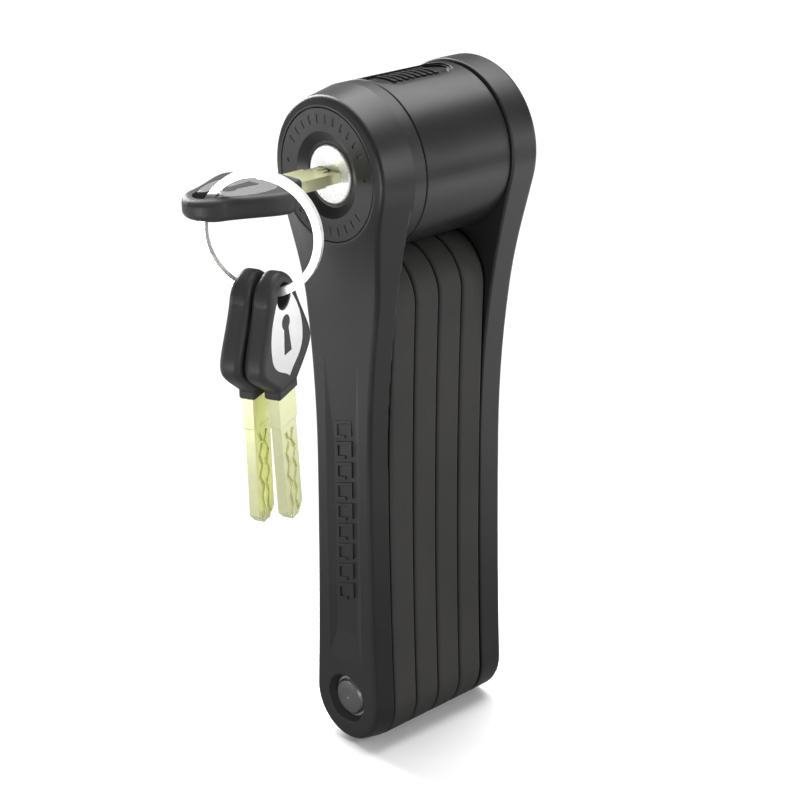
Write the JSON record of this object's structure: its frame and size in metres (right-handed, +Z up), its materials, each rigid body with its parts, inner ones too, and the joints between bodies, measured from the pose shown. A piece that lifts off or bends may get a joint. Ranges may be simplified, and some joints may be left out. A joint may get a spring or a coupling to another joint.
{
  "type": "folding bike lock",
  "caption": "Folding bicycle lock of riveted covered steel links between two arms, with a key-turned cylinder in a barrel head and a key ring.",
  "frame": {"origin": "centre of the flat rear face of the back arm's head, on the barrel's axis", "axes": "+Y out of the rear face along the barrel's axis, -Y towards the key, +Z up so that the arms hang down, +X to the right seen from the key side"},
  "size_m": [0.0515, 0.1055, 0.1973],
  "materials": {
    "arm_plastic": "fine moulded texture, soft black",
    "barrel_plastic": "fine moulded texture, satin black",
    "link_plastic": "matte warm dark grey",
    "trim_plastic": "satin black",
    "badge_metal": "dark anodised, bright worn edge",
    "hardened_steel": "ground steel",
    "rivet_steel": "gunmetal, turned",
    "spacer_nylon": "natural nylon",
    "brass": "machined",
    "spring_steel": "bright zinc",
    "chrome": "polished",
    "key_brass": "pale nickel brass, milled",
    "key_plastic": "soft-touch black",
    "ring_steel": "nickel plated"
  },
  "bodies": {
    "lock_body": {"front_arm_cover": "arm_plastic", "front_arm_bar": "hardened_steel", "barrel_sleeve": "barrel_plastic", "barrel_badge": "badge_metal", "sleeve_screws": "spring_steel", "lock_housing": "hardened_steel", "cylinder_stator": "brass", "escutcheon_ring": "trim_plastic", "driver_pins": "brass", "pin_springs": "spring_steel", "rivet_1": "rivet_steel", "spacer_1": "spacer_nylon"},
    "plug": {"key_plug": "brass", "plug_face": "chrome", "key_pins": "brass", "retaining_clip": "spring_steel", "drive_shaft": "hardened_steel"},
    "bolt": {"locking_bolt": "hardened_steel", "follower_pin": "hardened_steel"},
    "back_arm": {"back_arm_cover": "arm_plastic", "back_arm_bar": "hardened_steel", "bolt_socket": "hardened_steel"},
    "key_ring": {"key_ring": "ring_steel"},
    "link_1": {"link_1_bar": "hardened_steel", "link_1_sleeve": "link_plastic", "rivet_2": "rivet_steel", "spacer_2": "spacer_nylon"},
    "link_2": {"link_2_bar": "hardened_steel", "link_2_sleeve": "link_plastic", "rivet_3": "rivet_steel", "spacer_3": "spacer_nylon"},
    "link_3": {"link_3_bar": "hardened_steel", "link_3_sleeve": "link_plastic", "rivet_4": "rivet_steel", "spacer_4": "spacer_nylon"},
    "link_4": {"link_4_bar": "hardened_steel", "link_4_sleeve": "link_plastic", "rivet_5": "rivet_steel", "spacer_5": "spacer_nylon"},
    "key_1": {"key_1_blade": "key_brass", "key_1_bow": "key_plastic", "key_1_inlays": "chrome"},
    "key_2": {"key_2_blade": "key_brass", "key_2_bow": "key_plastic", "key_2_inlays": "chrome"},
    "key_3": {"key_3_blade": "key_brass", "key_3_bow": "key_plastic", "key_3_inlays": "chrome"}
  },
  "joints": [
    {"name": "fold_1", "type": "hinge", "parent": "lock_body", "child": "link_1", "pos_m": [0, 0, -0.1594], "axis": [0, 1, 0], "range_deg": [-180, 180]},
    {"name": "fold_2", "type": "hinge", "parent": "link_1", "child": "link_2", "pos_m": [0, 0, -0.0376], "axis": [0, 1, 0], "range_deg": [-97, 97]},
    {"name": "fold_3", "type": "hinge", "parent": "link_2", "child": "link_3", "pos_m": [0, 0, -0.1594], "axis": [0, 1, 0], "range_deg": [-180, 180]},
    {"name": "fold_4", "type": "hinge", "parent": "link_3", "child": "link_4", "pos_m": [0, 0, -0.0376], "axis": [0, 1, 0], "range_deg": [-97, 97]},
    {"name": "fold_5", "type": "hinge", "parent": "link_4", "child": "back_arm", "pos_m": [0, 0, -0.1594], "axis": [0, 1, 0], "range_deg": [-180, 180]},
    {"name": "key_turn", "type": "hinge", "parent": "lock_body", "child": "plug", "pos_m": [0, 0, 0], "axis": [0, 1, 0], "range_deg": [0, 90]},
    {"name": "bolt_slide", "type": "slide", "parent": "lock_body", "child": "bolt", "axis": [0, 1, 0], "range_m": [0, 0.008]},
    {"name": "key_withdraw", "type": "slide", "parent": "plug", "child": "key_1", "axis": [0, -1, 0], "range_m": [0, 0.027]},
    {"name": "ring_swing", "type": "hinge", "parent": "key_1", "child": "key_ring", "pos_m": [0, -0.0981, 0], "axis": [0, 0, 1], "range_deg": [-90, 20]},
    {"name": "spare_key_2_swing", "type": "hinge", "parent": "key_ring", "child": "key_2", "pos_m": [0.00982, -0.09257, -0.02179], "axis": [0.9272, 0.3746, 0], "range_deg": [-45, 30]},
    {"name": "spare_key_3_swing", "type": "hinge", "parent": "key_ring", "child": "key_3", "pos_m": [0.0152, -0.08953, -0.02179], "axis": [0.9272, 0.3746, 0], "range_deg": [-45, 22]}
  ],
  "couplings": [
    {"joint": "bolt_slide", "follows": "key_turn", "m_per_rad": 0.005093}
  ]
}
